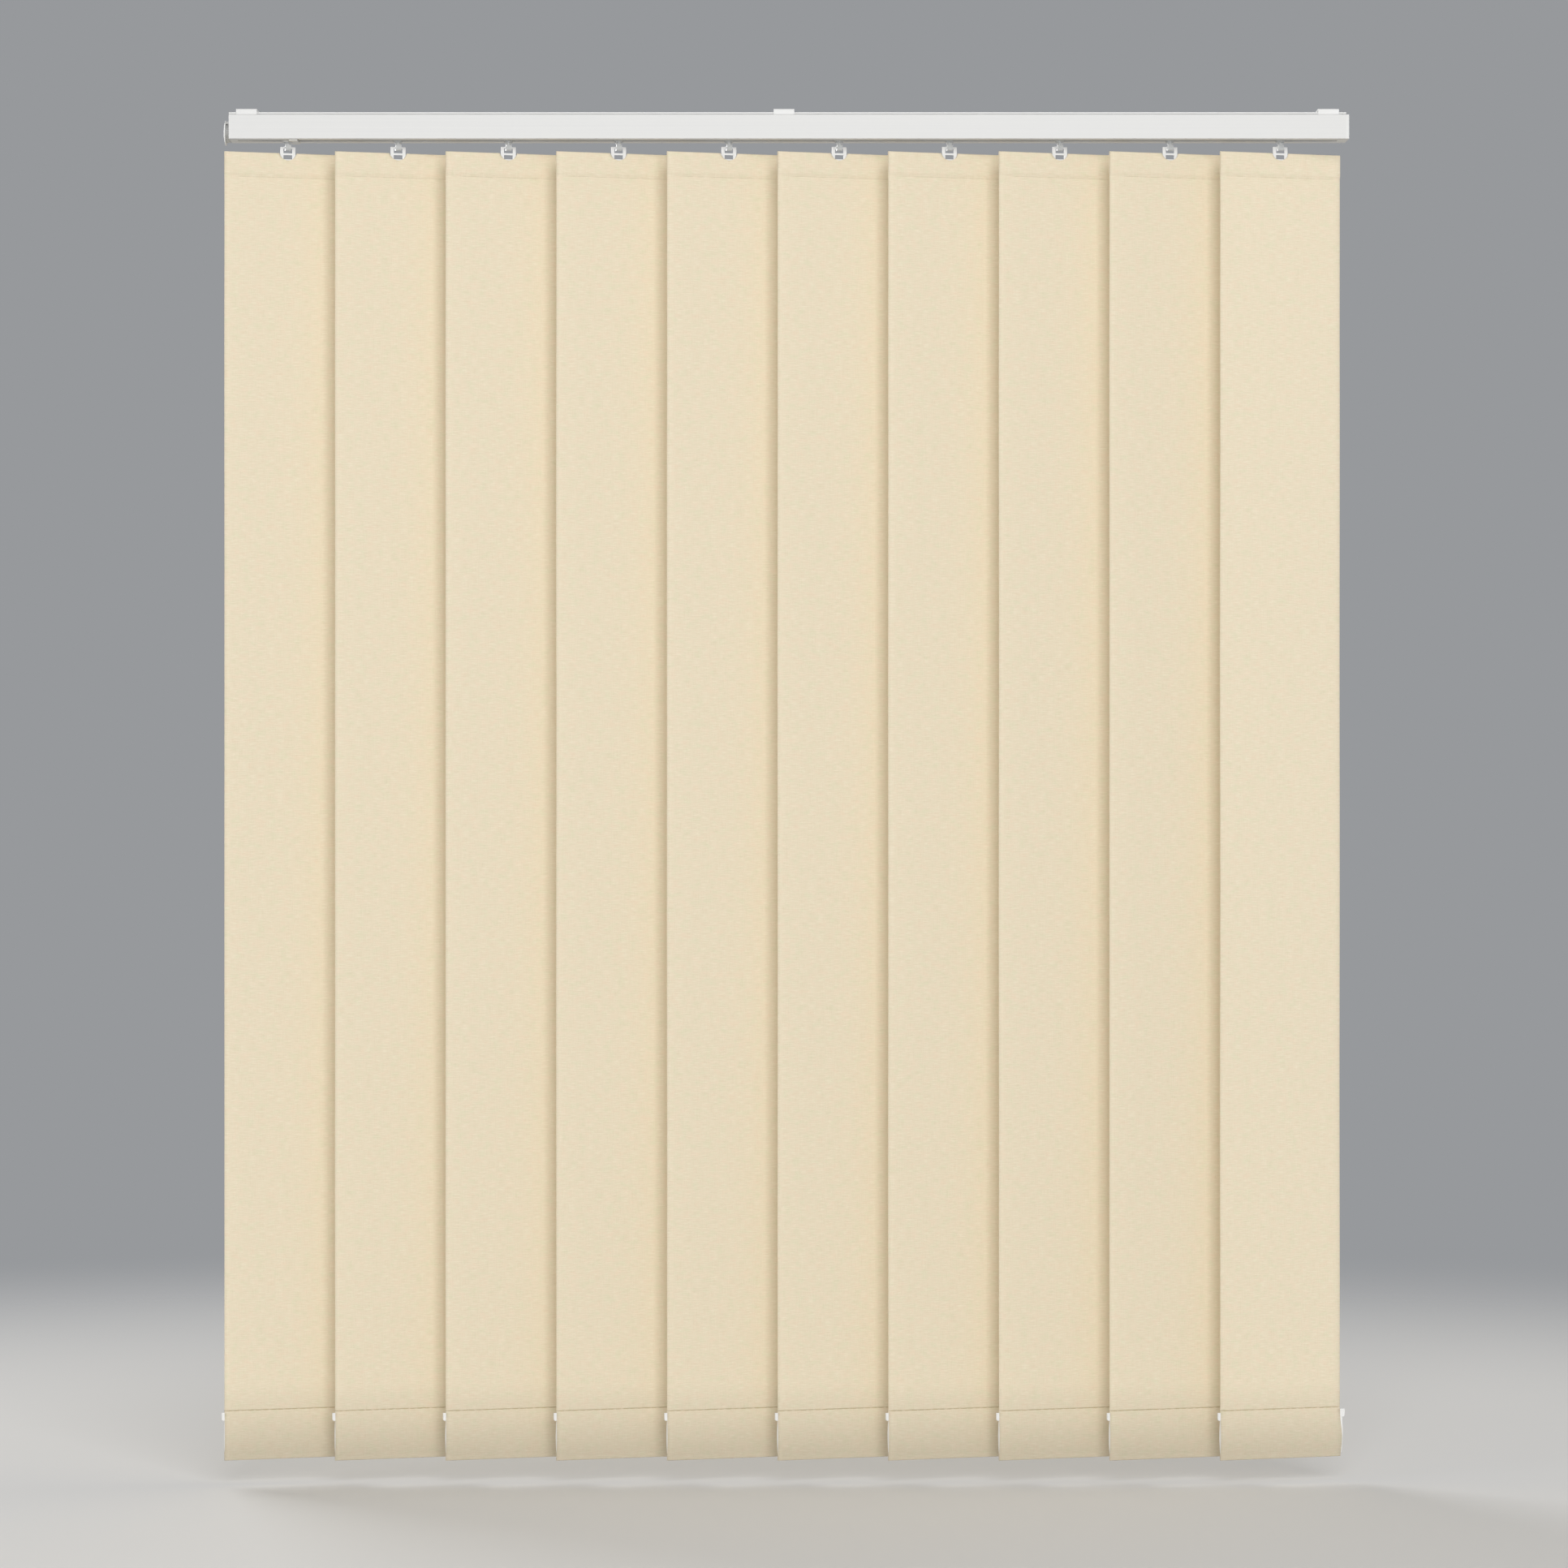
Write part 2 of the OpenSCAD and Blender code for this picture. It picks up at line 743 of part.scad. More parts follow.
// The loop's two windows
module loop_windows() {
    span(-window_w / 2, cross_top, window_w / 2, bar_bot);
    span(-window_w / 2, slat_top - window_drop, window_w / 2, cross_top - cross_h);
}

// Outline of the hanger plate, cut back beside the notch
module plate_outline() {
    fold_room = sqrt(pow(pocket_in / 2, 2) - pow(hanger_t / 2, 2));
    plate_top = fold_z + fold_room - pocket_gap;
    relief_half = notch_r + relief_gap;
    difference() {
        span(-hanger_w / 2, plate_top - hanger_h, hanger_w / 2, plate_top);
        span(-relief_half, slat_top - relief_h, relief_half, slat_top);
    }
}

// Gives an outline drawn in X and Z its thickness
module upright(thickness) {
    rotate([90, 0, 0])
        linear_extrude(height = thickness, center = true)
            children();
}

module hanger(i) {
    color("white")
        at_hook(i)
            difference() {
                union() {
                    upright(loop_t)
                        loop_outline();
                    upright(hanger_t)
                        plate_outline();
                }
                upright(loop_t + over)
                    loop_windows();
            }
}

// Section of a pocket that is round at the top fold and tapers to its seam
module top_pocket(width, seam) {
    taper_z = top_seam + taper_h;
    translate([0, fold_z])
        circle(width / 2);
    polygon([[-fabric_t / 2, seam], [fabric_t / 2, seam], [width / 2, taper_z],
             [width / 2, fold_z], [-width / 2, fold_z], [-width / 2, taper_z]]);
}

// Section of the folded slat: top pocket, single cloth and filled hem
module slat_section() {
    difference() {
        union() {
            top_pocket(pocket_out, top_seam);
            span(-fabric_t / 2, hem_seam - over, fabric_t / 2, top_seam + over);
            translate([0, hem_mid])
                lens(hem_r, hem_bow);
        }
        top_pocket(pocket_in, top_seam + taper_h / 2);
        translate([0, hem_mid])
            lens(hem_r - fabric_t, hem_bow - fabric_t);
    }
}

module slat(i) {
    color("wheat")
        at_hook(i)
            difference() {
                rotate([90, 0, 90])
                    linear_extrude(height = slat_w, center = true)
                        slat_section();
                translate([0, 0, notch_z])
                    rotate([90, 0, 0])
                        cylinder(r = notch_r, h = pocket_out * 2, center = true);
            }
}

// Outline of a peg with its lower outer corner cut off, on the right end
module peg_outline(root) {
    peg_end = slat_w / 2 + peg_out;
    polygon([[root, peg_bot], [peg_end - peg_chamfer, peg_bot], [peg_end, peg_bot + peg_chamfer],
             [peg_end, peg_top], [root, peg_top]]);
}

// Front outline of the weight, with the necks that carry its pegs
module weight_outline() {
    neck_half = slat_w / 2 + peg_out - peg_chamfer;
    translate([0, hem_mid])
        lens(weight_end_r, weight_half);
    span(-neck_half, peg_bot + peg_chamfer / 2, neck_half, peg_top);
}

module weight(i) {
    color("white")
        at_hook(i)
            translate([weight_shift, 0, 0]) {
                intersection() {
                    rotate([90, 0, 90])
                        linear_extrude(height = slat_w + 2 * peg_out, center = true)
                            intersection() {
                                translate([0, hem_mid])
                                    lens(weight_lens_r, weight_bow);
                                span(-hem_bow, hem_mid - weight_h / 2, hem_bow, hem_mid + weight_h / 2);
                            }
                    upright(2 * hem_bow)
                        weight_outline();
                }
                for (side = [0, 1])
                    mirror([side, 0, 0])
                        upright(peg_t)
                            peg_outline(slat_w / 2 + (2 * side - 1) * weight_shift);
            }
}

headrail();
tilt_rod();
rod_bush();
control_plug();
chain_wheel();
wheel_cover();
end_cap();
bracket(rail_left + bracket_inset);  // bracket_left
bracket(0);  // bracket_centre
bracket(rail_right - bracket_inset);  // bracket_right
for (i = [1:slat_count]) {
    carrier(i);
    hook(i);
    hanger(i);
    slat(i);
    weight(i);
}
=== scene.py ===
import math
import random
import bpy
import bmesh
from mathutils import Matrix, Vector


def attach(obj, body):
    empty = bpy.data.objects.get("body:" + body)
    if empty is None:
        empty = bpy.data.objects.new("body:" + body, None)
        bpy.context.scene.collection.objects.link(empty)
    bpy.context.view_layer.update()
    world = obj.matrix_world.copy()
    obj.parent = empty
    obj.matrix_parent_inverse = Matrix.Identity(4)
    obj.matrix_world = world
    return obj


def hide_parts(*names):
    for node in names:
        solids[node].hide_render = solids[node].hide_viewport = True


# vertical blind: cream slub slats on a white headrail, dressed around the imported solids

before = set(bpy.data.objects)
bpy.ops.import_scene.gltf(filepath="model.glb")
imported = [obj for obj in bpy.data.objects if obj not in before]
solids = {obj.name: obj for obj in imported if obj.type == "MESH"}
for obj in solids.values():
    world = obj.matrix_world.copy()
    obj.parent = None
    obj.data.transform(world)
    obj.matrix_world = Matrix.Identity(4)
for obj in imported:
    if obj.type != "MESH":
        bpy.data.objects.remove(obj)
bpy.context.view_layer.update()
scene = bpy.context.scene
mm = 0.001
print("frame loaded:", len(solids), "solids")

blind = {
    "slats": 10,
    "firstHook": -490.5 * mm,
    "pitch": 109 * mm,
    "angle": math.radians(17),
}
louvres = ["%02d" % k for k in range(1, blind["slats"] + 1)]


def slatPlace(number):  # from a slat's own upright frame to its place under the rail
    hookX = blind["firstHook"] + (number - 1) * blind["pitch"]
    return Matrix.Translation((hookX, 0, 0)) @ Matrix.Rotation(blind["angle"], 4, "Z")


def tint(hexText):  # sRGB hex to linear
    parts = [int(hexText[k:k + 2], 16) / 255 for k in (1, 3, 5)]
    return [c / 12.92 if c <= 0.04045 else ((c + 0.055) / 1.055) ** 2.4 for c in parts] + [1.0]


def addNode(tree, kind, inputs=None, **settings):  # one node, its settings and what goes into it
    node = tree.nodes.new(kind)
    for key, value in settings.items():
        setattr(node, key, value)
    for key, value in (inputs or {}).items():
        if isinstance(value, bpy.types.NodeSocket):
            tree.links.new(value, node.inputs[key])
        else:
            node.inputs[key].default_value = value
    return node


def newFinish(name, sockets):  # a material with its shader's constants set
    finish = bpy.data.materials.new(name)
    finish.use_nodes = True
    tree = finish.node_tree
    tree.nodes.clear()
    shader = addNode(tree, "ShaderNodeBsdfPrincipled", sockets)
    addNode(tree, "ShaderNodeOutputMaterial", {"Surface": shader.outputs[0]})
    return finish, tree, shader


# cloth

slubCloth = {
    "base": "#E8DBC1",
    "shades": {"pale": "#F1E7D0", "deep": "#D5C6A4", "green": "#DEDBBB", "pink": "#EDD8BF", "seam": "#A7946D"},
    "weft": (9, 0.9),  # length and height of a slub across the slat, mm
    "warp": (0.9, 14),  # the same for a thread down the slat
    "cloud": (12, 8),  # size of the colour patches
    "flecks": (  # pattern, its values at none and at full, the shade and how much of it
        ("cloud", 0.52, 0.74, "green", 0.42), ("cloud", 0.46, 0.24, "pink", 0.42),
        ("warp", 0.56, 0.76, "pale", 0.22), ("warp", 0.44, 0.24, "deep", 0.16),
        ("weft", 0.54, 0.74, "pale", 0.62), ("weft", 0.46, 0.26, "deep", 0.27)),
    "strip": 310,  # width of pattern that each slat takes for itself, mm
    "weldLine": (24.6, 0.55, 0.3, 44, 60),  # mm below the top fold, half width, shade, whole up to, gone at
    "stitchLine": (1241.4, 0.75, 0.5, 64, 65),
    "bottomFold": 1290.6,
    "paintedHemShade": (74, 0.27),  # mm over the bottom fold that get painted shade, and how dark it is at the fold
    "thread": 0.9,  # thread spacing; the real 0.45 mm is too fine to show
    "relief": (("weft", 2.2), ("warp", 1.2)),  # slubs against a thread's height of 1
    "reliefDepth": 0.1,
}


def makeSlubCloth(c):
    # slub polyester, woven and stiffened: matt, with short uneven threads paler and darker than the ground
    finish, tree, shader = newFinish("slubPolyester", {"Roughness": 0.88, "Specular IOR Level": 0.25,
                                                       "Sheen Weight": 0.1, "Sheen Roughness": 0.5})
    cloth = addNode(tree, "ShaderNodeUVMap", uv_map="cloth").outputs[0]  # metres across and along the strip
    field = {}
    for name, detail in (("weft", 2.5), ("warp", 2.0), ("cloud", 2.0)):
        wide, high = c[name]
        place = addNode(tree, "ShaderNodeMapping", {"Vector": cloth, "Scale": (1000 / wide, 1000 / high, 1)})
        noise = addNode(tree, "ShaderNodeTexNoise", {"Vector": place.outputs[0], "Scale": 1.0, "Detail": detail,
                                                     "Roughness": 0.6}, noise_dimensions="2D")
        field[name] = noise.outputs[0]
    colour = tint(c["base"])
    for name, start, full, shade, share in c["flecks"]:
        amount = addNode(tree, "ShaderNodeMapRange", {"Value": field[name], "From Min": start, "From Max": full,
                                                      "To Min": 0.0, "To Max": share})
        colour = addNode(tree, "ShaderNodeMix", {0: amount.outputs[0], 6: colour, 7: tint(c["shades"][shade])},
                         data_type="RGBA").outputs[2]
    side, down = addNode(tree, "ShaderNodeSeparateXYZ", {0: cloth}).outputs[:2]
    side = addNode(tree, "ShaderNodeMath", {0: side, 1: c["strip"] / 2 * mm, 2: -c["strip"] / 2 * mm},
                   operation="WRAP").outputs[0]
    side = addNode(tree, "ShaderNodeMath", {0: side}, operation="ABSOLUTE").outputs[0]  # from the slat's middle
    for line, half, share, whole, end in (c["weldLine"], c["stitchLine"]):
        off = addNode(tree, "ShaderNodeMath", {0: down, 1: line * mm}, operation="SUBTRACT").outputs[0]
        off = addNode(tree, "ShaderNodeMath", {0: off}, operation="ABSOLUTE").outputs[0]
        amount = addNode(tree, "ShaderNodeMapRange", {"Value": off, "From Min": 0.25 * half * mm,
                                                      "From Max": half * mm, "To Min": share, "To Max": 0.0})
        broken = addNode(tree, "ShaderNodeMapRange", {"Value": field["cloud"], "From Min": 0.3, "From Max": 0.55,
                                                      "To Min": 0.35, "To Max": 1.0})
        amount = addNode(tree, "ShaderNodeMath", {0: amount.outputs[0], 1: broken.outputs[0]}, operation="MULTIPLY")
        ends = addNode(tree, "ShaderNodeMapRange", {"Value": side, "From Min": whole * mm, "From Max": end * mm,
                                                    "To Min": 1.0, "To Max": 0.0})
        amount = addNode(tree, "ShaderNodeMath", {0: amount.outputs[0], 1: ends.outputs[0]}, operation="MULTIPLY")
        colour = addNode(tree, "ShaderNodeMix", {0: amount.outputs[0], 6: colour, 7: tint(c["shades"]["seam"])},
                         data_type="RGBA").outputs[2]
    reach, depth = c["paintedHemShade"]  # painted shade: the cloth's colour is darkened towards the bottom fold
    off = addNode(tree, "ShaderNodeMath", {0: down, 1: c["bottomFold"] * mm}, operation="SUBTRACT").outputs[0]
    off = addNode(tree, "ShaderNodeMath", {0: off}, operation="ABSOLUTE").outputs[0]
    amount = addNode(tree, "ShaderNodeMapRange", {"Value": off, "From Min": 0.0, "From Max": reach * mm,
                                                  "To Min": depth, "To Max": 0.0})
    # painted shade: mixes the cloth's colour towards black near the bottom fold
    colour = addNode(tree, "ShaderNodeMix", {0: amount.outputs[0], 6: colour, 7: (0, 0, 0, 1)},
                     data_type="RGBA").outputs[2]
    height = None
    for way in ("X", "Y"):  # warp and weft of the plain weave
        wave = addNode(tree, "ShaderNodeTexWave", {"Vector": cloth, "Scale": 2 * math.pi / (20 * c["thread"] * mm),
                                                   "Distortion": 0.0}, wave_type="BANDS", bands_direction=way)
        height = wave.outputs[1] if height is None else addNode(
            tree, "ShaderNodeMath", {0: height, 1: wave.outputs[1]}, operation="MAXIMUM").outputs[0]
    for name, share in c["relief"]:
        height = addNode(tree, "ShaderNodeMath", {0: field[name], 1: share, 2: height},
                         operation="MULTIPLY_ADD").outputs[0]
    bump = addNode(tree, "ShaderNodeBump", {"Strength": 0.35, "Distance": c["reliefDepth"] * mm, "Height": height})
    tree.links.new(colour, shader.inputs["Base Color"])
    tree.links.new(bump.outputs[0], shader.inputs["Normal"])
    return finish


slat = {
    "width": 127.0,
    "top": -41.7,
    "bottom": -1331.7,
    "thick": 0.45,
    "pocketHalf": 0.975,  # middle of the cloth round the hanger plate
    "weld": 24.5,  # weld of the top pocket, below the top fold
    "taper": 4.8,
    "hem": 48.8,  # stitched seam above the bottom fold
    "hemBow": 2.17,
    "hemRadius": 125.0,
    "foldRadius": 0.55,
    "foldEase": 12,  # from the hem's bow to its fold
    "endReach": 1.6,  # the weight presses the hem's right end out by this, in an arc
    "endRadius": 263.0,
    "pegFoot": 39.4,  # lower end of the weight's pegs, above the bottom fold
    "pegEase": 20,  # from the peg's foot to the whole arc
    "weldGroove": 0.03,
    "seamGroove": 0.18,
    "grooveHalf": 0.6,
    "pocketBand": 1.2,  # finer rows beside a seam, on its pocket's side
    "plainBand": 1.6,  # and on the other side
    "turning": 3.0,  # cloth beyond each seam
    "notchRadius": 9.0,
    "notchRise": 2.0,
    "backLift": 0.8,  # where the hem's back starts over its fold
    "columns": 13,  # in each half of the width
    "cut": (127.0, 1371.0),  # flat strip before its two folds
    "seed": 40,
    "wave": (0.2, 0.4),  # least and most that a slat waves out of its plane
    "cup": (0.2, 0.6),  # the same for its edges
    "lean": (-0.3, 0.3),  # and for its twist
    "waveLength": (380, 620),
    "flatTop": 60,  # held flat by the hanger
    "flatFoot": 90,  # held flat by the weight
    "easing": 160,  # from flat to waving
}


def smooth(t):  # 0 to 1 with a soft start and end
    t = min(max(t, 0.0), 1.0)
    return t * t * (3 - 2 * t)


def slatRows(s):  # the strip's middle surface, from the free end of its top fold to that of its hem
    top, bottom = s["top"], s["bottom"]
    half, layer = s["pocketHalf"], s["thick"]
    pocket, plain = s["pocketBand"], s["plainBand"]
    weld, seam = top - s["weld"], bottom + s["hem"]
    wide, mid = weld + s["taper"], bottom + s["hem"] / 2
    fold, foot = top - layer / 2 - half, bottom + layer / 2 + s["foldRadius"]
    notch = top + s["notchRise"] - s["notchRadius"]

    def even(a, b, n):
        return [a + (b - a) * k / n for k in range(n)]

    def eased(a, b, n):  # closer together towards a, where the notch's edge runs level
        return [a + (b - a) * (1 - math.cos(k / n * math.pi / 2)) for k in range(n)]

    def lens(z):
        reach = s["hemRadius"] ** 2 - (z - mid) ** 2
        return math.sqrt(reach) - (s["hemRadius"] - s["hemBow"])

    rows = []
    for z in even(weld - s["turning"], weld, 2) + even(weld, wide, 4) + even(wide, notch, 4) + eased(notch, fold, 14):
        rows.append((layer + (half - layer) * smooth((z - weld) / s["taper"]), z))
    for k in range(9):
        a = math.pi * k / 8
        rows.append((half * math.cos(a), fold + half * math.sin(a)))
    for z in eased(notch, fold, 14)[::-1] + even(notch, wide, 4)[1:] + even(wide, weld + pocket, 4):
        rows.append((-half * smooth((z - weld) / s["taper"]), z))
    for z in even(weld + pocket, weld - plain, 7):
        rows.append((s["weldGroove"] * math.exp(-((z - weld) / s["grooveHalf"]) ** 2), z))
    for z in even(weld - plain, seam + plain, 52) + even(seam + plain, seam - pocket, 8):
        rows.append((s["seamGroove"] * math.exp(-((z - seam) / s["grooveHalf"]) ** 2), z))
    for z in even(seam - pocket, foot, 26):
        low = s["foldRadius"] * smooth((mid - z) / s["foldEase"])
        rows.append((-max(lens(z), low), z))
    for k in range(9):
        a = math.pi * k / 8
        rows.append((-s["foldRadius"] * math.cos(a), foot - s["foldRadius"] * math.sin(a)))
    for z in even(foot + s["backLift"], seam, 20) + [seam, seam + s["turning"]]:
        rows.append((max(lens(z) if z < seam else 0.0, layer), z))
    return rows


def makeSlat(number, finish):
    s = slat
    rng = random.Random(s["seed"] + number)
    wave, cup, lean = rng.uniform(*s["wave"]), rng.uniform(*s["cup"]), rng.uniform(*s["lean"])
    length, start = rng.uniform(*s["waveLength"]), rng.uniform(0, 6.28)
    rows = slatRows(s)
    run = [0.0]
    for (y0, z0), (y1, z1) in zip(rows, rows[1:]):
        run.append(run[-1] + math.hypot(y1 - y0, z1 - z0))
    crest = max(range(len(rows)), key=lambda k: rows[k][1])
    notchZ = s["top"] + s["notchRise"]
    mesh = bpy.data.meshes.new("slatCloth" + louvres[number - 1])
    bm = bmesh.new()
    across, along = bm.verts.layers.float.new("across"), bm.verts.layers.float.new("along")
    place = slatPlace(number)
    for side in (-1, 1):
        grid = []
        for k, (y, z) in enumerate(rows):
            gap = s["notchRadius"] ** 2 - (z - notchZ) ** 2
            inner = math.sqrt(gap) if gap > 0.05 else 0.0
            fade = min(max((s["top"] - s["flatTop"] - z) / s["easing"], 0), 1)
            fade *= min(max((z - s["bottom"] - s["flatFoot"]) / s["easing"], 0), 1)
            ease, below = smooth(fade), smooth((s["bottom"] + s["pegFoot"] - z) / s["pegEase"])
            arc = s["endReach"] - (z - s["bottom"] - s["hem"] / 2) ** 2 / (2 * s["endRadius"])
            press = arc * below if side > 0 else 0.0
            line = []
            for c in range(s["columns"] + 1):
                u = side * (inner + (s["width"] / 2 - inner) * (c / s["columns"]) ** 1.15)
                part = u / (s["width"] / 2)  # 1 at the edge
                sway = wave * math.sin(z / length * 6.28 + start) + cup * part ** 2
                sway += lean * part * math.sin(z / length * 3.9 + start)
                out = press * part ** 3
                v = bm.verts.new(place @ Vector(((u + out) * mm, (y + ease * sway) * mm, z * mm)))
                v[across] = (u + slubCloth["strip"] * number) * mm
                v[along] = (run[k] - run[crest]) * mm
                line.append(v)
            grid.append(line)
        for a, b in zip(grid, grid[1:]):
            for c in range(s["columns"]):
                quad = [a[c], a[c + 1], b[c + 1], b[c]]
                bm.faces.new(quad if side < 0 else quad[::-1])
    bmesh.ops.remove_doubles(bm, verts=bm.verts, dist=0.002 * mm)
    uv = bm.loops.layers.uv.new("cloth")
    for face in bm.faces:
        face.smooth = True
        for corner in face.loops:
            corner[uv].uv = (corner.vert[across], corner.vert[along])
    bm.to_mesh(mesh)
    bm.free()
    piece = bpy.data.objects.new("slatCloth" + louvres[number - 1], mesh)
    scene.collection.objects.link(piece)
    mesh.materials.append(finish)
    wall = piece.modifiers.new("clothThickness", "SOLIDIFY")
    wall.thickness, wall.offset, wall.use_even_offset = s["thick"] * mm, 0.0, True
    return piece


clothFinish = makeSlubCloth(slubCloth)
slatPieces = [makeSlat(k, clothFinish) for k in range(1, blind["slats"] + 1)]
for key, piece in zip(louvres, slatPieces):
    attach(piece, "louvre_" + key)
    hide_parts("slat_" + key)
print("slats hung:", len(slatPieces), "faces each:", len(slatPieces[0].data.polygons))


# hem stitches

hemStitch = {
    "count": 17,
    "pitch": 7.35,
    "length": 6.3,
    "thread": 0.54,
    "front": -0.08,  # middle of the thread off the seam's middle, on the room side
    "through": 0.8,  # from the front row to the back row
    "height": -1282.9,
    "seed": 7,
    "colours": ("#AB9B77", "#CBBA97"),
    "twist": 1.1111,  # mm from light to dark along the thread
}


def makeThread(h):
    # spun polyester thread, darker than the cloth and drawn tight into it: matt, with a twist
    finish, tree, shader = newFinish("hemThread", {"Roughness": 0.8, "Specular IOR Level": 0.2})
    spot = addNode(tree, "ShaderNodeTexCoord").outputs["Object"]
    twist = addNode(tree, "ShaderNodeTexNoise", {"Vector": spot, "Scale": 1 / (h["twist"] * mm), "Detail": 2.0})
    dark, pale = (tint(shade) for shade in h["colours"])
    shade = addNode(tree, "ShaderNodeMix", {0: twist.outputs[0], 6: dark, 7: pale}, data_type="RGBA")
    bump = addNode(tree, "ShaderNodeBump", {"Strength": 0.4, "Distance": 0.1 * mm, "Height": twist.outputs[0]})
    tree.links.new(shade.outputs[2], shader.inputs["Base Color"])
    tree.links.new(bump.outputs[0], shader.inputs["Normal"])
    return finish


def makeStitchTree(finish):  # a row of stitches on each face of the hem's seam
    tree = bpy.data.node_groups.new("hemStitches", "GeometryNodeTree")
    sockets = {}
    for name, kind in (("Count", "Int"), ("First", "Vector"), ("Step", "Vector"), ("Through", "Vector"),
                       ("Turn", "Float"), ("Size", "Vector"), ("Seed", "Int")):
        item = tree.interface.new_socket(name, in_out="INPUT", socket_type="NodeSocket" + kind)
        sockets[name] = item.identifier
    tree.interface.new_socket("Geometry", in_out="OUTPUT", socket_type="NodeSocketGeometry")
    given = addNode(tree, "NodeGroupInput").outputs
    behind = addNode(tree, "ShaderNodeVectorMath", {0: given["First"], 1: given["Through"]}, operation="ADD")
    rows = addNode(tree, "GeometryNodeJoinGeometry")
    for start in (given["First"], behind.outputs[0]):
        line = addNode(tree, "GeometryNodeMeshLine", {"Count": given["Count"], "Start Location": start,
                                                      "Offset": given["Step"]})
        tree.links.new(line.outputs[0], rows.inputs[0])
    bead = addNode(tree, "GeometryNodeMeshUVSphere", {"Segments": 8, "Rings": 6, "Radius": 0.5})
    stitch = addNode(tree, "GeometryNodeTransform", {"Geometry": bead.outputs[0], "Scale": given["Size"]})
    tip = addNode(tree, "FunctionNodeRandomValue", {2: -0.02, 3: 0.02, "Seed": given["Seed"]}, data_type="FLOAT")
    grow = addNode(tree, "FunctionNodeRandomValue", {2: 0.88, 3: 1.06, "Seed": given["Seed"]}, data_type="FLOAT")
    lean = addNode(tree, "ShaderNodeCombineXYZ", {1: tip.outputs[1], 2: given["Turn"]})
    turned = addNode(tree, "FunctionNodeEulerToRotation", {0: lean.outputs[0]})
    laid = addNode(tree, "GeometryNodeInstanceOnPoints", {"Points": rows.outputs[0], "Instance": stitch.outputs[0],
                                                          "Rotation": turned.outputs[0], "Scale": grow.outputs[1]})
    real = addNode(tree, "GeometryNodeRealizeInstances", {0: laid.outputs[0]})
    soft = addNode(tree, "GeometryNodeSetShadeSmooth", {0: real.outputs[0]})
    done = addNode(tree, "GeometryNodeSetMaterial", {"Geometry": soft.outputs[0], "Material": finish})
    addNode(tree, "NodeGroupOutput", {0: done.outputs[0]})
    return tree, sockets


def layStitches(number, tree, sockets):
    h = hemStitch
    turn = slatPlace(number).to_3x3()
    first = Vector((-(h["count"] - 1) / 2 * h["pitch"], h["front"], h["height"])) * mm
    host = bpy.data.objects.new("stitchHost", bpy.data.meshes.new("stitchHost"))
    scene.collection.objects.link(host)
    layer = host.modifiers.new("hemStitches", "NODES")
    layer.node_group = tree
    for name, value in (("Count", h["count"]), ("First", slatPlace(number) @ first),
                        ("Step", turn @ Vector((h["pitch"] * mm, 0, 0))),
                        ("Through", turn @ Vector((0, h["through"] * mm, 0))), ("Turn", blind["angle"]),
                        ("Size", Vector((h["length"], h["thread"], h["thread"])) * mm),
                        ("Seed", h["seed"] + number)):
        layer[sockets[name]] = value
    made = bpy.data.meshes.new_from_object(host.evaluated_get(bpy.context.evaluated_depsgraph_get()))
    host.modifiers.clear()
    bpy.data.objects.remove(host)
    piece = bpy.data.objects.new("hemStitches" + louvres[number - 1], made)
    scene.collection.objects.link(piece)
    return piece


stitchTree, stitchSockets = makeStitchTree(makeThread(hemStitch))
for k, key in enumerate(louvres, 1):
    piece = layStitches(k, stitchTree, stitchSockets)
    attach(piece, "louvre_" + key)
print("hems stitched:", hemStitch["count"], "stitches a face")


# hard finishes

mouldedSkin = {
    "cloud": 9,  # size of the cloudy patches, mm
    "depth": 0.02,  # of the grain
    "gloss": (-0.05, 0.07),  # spread of the roughness
}


def makeMoulding(name, base, shade, grain, sockets):
    # an injection-moulded plastic: slightly cloudy colour, a fine spark-eroded grain and uneven gloss
    m = mouldedSkin
    finish, tree, shader = newFinish(name, sockets)
    spot = addNode(tree, "ShaderNodeTexCoord").outputs["Object"]
    cloud = addNode(tree, "ShaderNodeTexNoise", {"Vector": spot, "Scale": 1 / (m["cloud"] * mm), "Detail": 2.0})
    fine = addNode(tree, "ShaderNodeTexNoise", {"Vector": spot, "Scale": 1 / (grain * mm), "Detail": 3.0})
    colour = addNode(tree, "ShaderNodeMix", {0: cloud.outputs[0], 6: tint(base), 7: tint(shade)}, data_type="RGBA")
    sleek, dull = (sockets["Roughness"] + change for change in m["gloss"])
    gloss = addNode(tree, "ShaderNodeMapRange", {"Value": cloud.outputs[0], "From Min": 0.3, "From Max": 0.7,
                                                 "To Min": sleek, "To Max": dull})
    bump = addNode(tree, "ShaderNodeBump", {"Strength": 0.3, "Distance": m["depth"] * mm, "Height": fine.outputs[0]})
    tree.links.new(colour.outputs[2], shader.inputs["Base Color"])
    tree.links.new(gloss.outputs[0], shader.inputs["Roughness"])
    tree.links.new(bump.outputs[0], shader.inputs["Normal"])
    return finish


powderCoat = {
    "colours": ("#DADAD9", "#E2E2E0"),
    "peel": 1.4,  # width of the orange peel's bumps, mm
    "peelDepth": 0.03,
    "drawn": (625, 2.2),  # length and width of a draw line
    "gloss": (0.44, 0.58),
}


